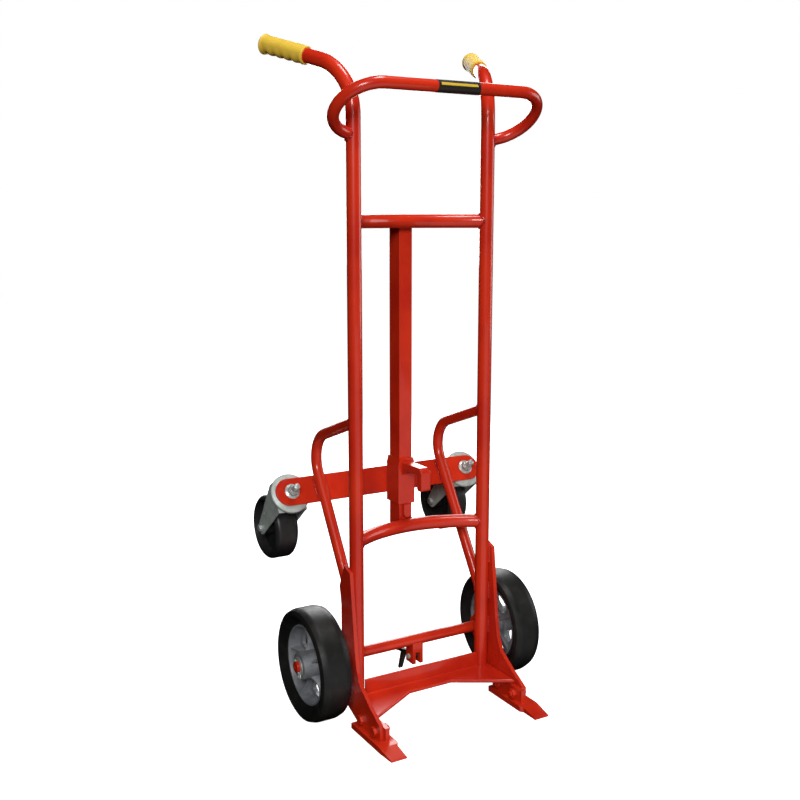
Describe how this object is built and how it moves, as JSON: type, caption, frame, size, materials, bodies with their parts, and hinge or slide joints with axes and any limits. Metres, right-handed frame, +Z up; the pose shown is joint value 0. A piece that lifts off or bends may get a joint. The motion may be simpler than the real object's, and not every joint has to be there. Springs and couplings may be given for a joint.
{
  "type": "hand truck",
  "caption": "Two-wheeled drum truck: bent tube rails with hand grips, loop handle, sliding chime hook on a centre post, forked toes, spoked wheels and rear swivel casters",
  "frame": {"origin": "Middle of the bounding box in X and Y, on the floor under the toes and the main wheels", "axes": "+X is the right-hand side seen from the load, -Y points to the load, +Z is up"},
  "size_m": [0.5964, 0.5796, 1.4973],
  "materials": {
    "red_paint": "gloss red enamel",
    "yellow_grip": "yellow vinyl sleeve with finger swells",
    "tyre_rubber": "smooth solid black rubber",
    "cast_hub": "rough grey casting",
    "zinc": "satin zinc plate",
    "bronze": "sintered bronze bush",
    "black_steel": "dark oiled steel",
    "black_polymer": "black moulded caster wheel"
  },
  "bodies": {
    "frame": {"rail_left": "red_paint", "rail_right": "red_paint", "grip_left": "yellow_grip", "grip_right": "yellow_grip", "loop_handle": "red_paint", "upper_cross_tube": "red_paint", "lower_cross_tube": "red_paint", "centre_post": "red_paint", "hook_stop": "red_paint", "strut_left": "red_paint", "strut_right": "red_paint", "side_plate_left": "red_paint", "side_plate_right": "red_paint", "toe_cross_plate": "red_paint", "toe_left": "red_paint", "toe_right": "red_paint", "toe_bolt_left_rear": "red_paint", "toe_bolt_left_front": "red_paint", "toe_bolt_right_rear": "red_paint", "toe_bolt_right_front": "red_paint", "toe_nut_left_rear": "red_paint", "toe_nut_left_front": "red_paint", "toe_nut_right_rear": "red_paint", "toe_nut_right_front": "red_paint", "axle": "red_paint", "cotter_left": "zinc", "cotter_right": "zinc", "axle_washer_left": "zinc", "axle_washer_right": "zinc", "wheel_spacer_left": "zinc", "wheel_spacer_right": "zinc", "caster_bar": "red_paint", "caster_race_left": "zinc", "caster_race_right": "zinc", "kingpin_left": "zinc", "kingpin_right": "zinc", "kingpin_nut_left": "zinc", "kingpin_nut_right": "zinc", "pedal_bracket": "red_paint", "pedal_pin": "zinc"},
    "wheel_left": {"tyre_left": "tyre_rubber", "hub_left": "cast_hub", "wheel_bush_left": "bronze"},
    "wheel_right": {"tyre_right": "tyre_rubber", "hub_right": "cast_hub", "wheel_bush_right": "bronze"},
    "swivel_left": {"caster_fork_left": "zinc", "caster_bolt_left": "zinc", "caster_nut_left": "zinc", "caster_bush_left": "zinc"},
    "swivel_right": {"caster_fork_right": "zinc", "caster_bolt_right": "zinc", "caster_nut_right": "zinc", "caster_bush_right": "zinc"},
    "caster_roller_left": {"caster_wheel_left": "black_polymer"},
    "caster_roller_right": {"caster_wheel_right": "black_polymer"},
    "slider": {"hook_slider": "red_paint", "chime_hook": "red_paint"},
    "pedal": {"foot_pedal": "black_steel"}
  },
  "joints": [
    {"name": "main_wheel_left", "type": "hinge", "parent": "frame", "child": "wheel_left", "pos_m": [-0.253, -0.02185, 0.127], "axis": [1, 0, 0], "continuous": true},
    {"name": "main_wheel_right", "type": "hinge", "parent": "frame", "child": "wheel_right", "pos_m": [0.253, -0.02185, 0.127], "axis": [1, 0, 0], "continuous": true},
    {"name": "caster_swivel_left", "type": "hinge", "parent": "frame", "child": "swivel_left", "pos_m": [-0.238, 0.11661, 0.48777], "axis": [0, -0.8434, 0.5373], "continuous": true},
    {"name": "caster_swivel_right", "type": "hinge", "parent": "frame", "child": "swivel_right", "pos_m": [0.238, 0.11661, 0.48777], "axis": [0, -0.8434, 0.5373], "continuous": true},
    {"name": "caster_spin_left", "type": "hinge", "parent": "swivel_left", "child": "caster_roller_left", "pos_m": [-0.238, 0.21365, 0.38326], "axis": [1, 0, 0], "continuous": true},
    {"name": "caster_spin_right", "type": "hinge", "parent": "swivel_right", "child": "caster_roller_right", "pos_m": [0.238, 0.21365, 0.38326], "axis": [1, 0, 0], "continuous": true},
    {"name": "hook_slide", "type": "slide", "parent": "frame", "child": "slider", "axis": [0, 0, 1], "range_m": [0, 0.5]},
    {"name": "pedal_hinge", "type": "hinge", "parent": "frame", "child": "pedal", "pos_m": [0.012, -0.01785, 0.087], "axis": [1, 0, 0], "range_deg": [0, 20]}
  ]
}
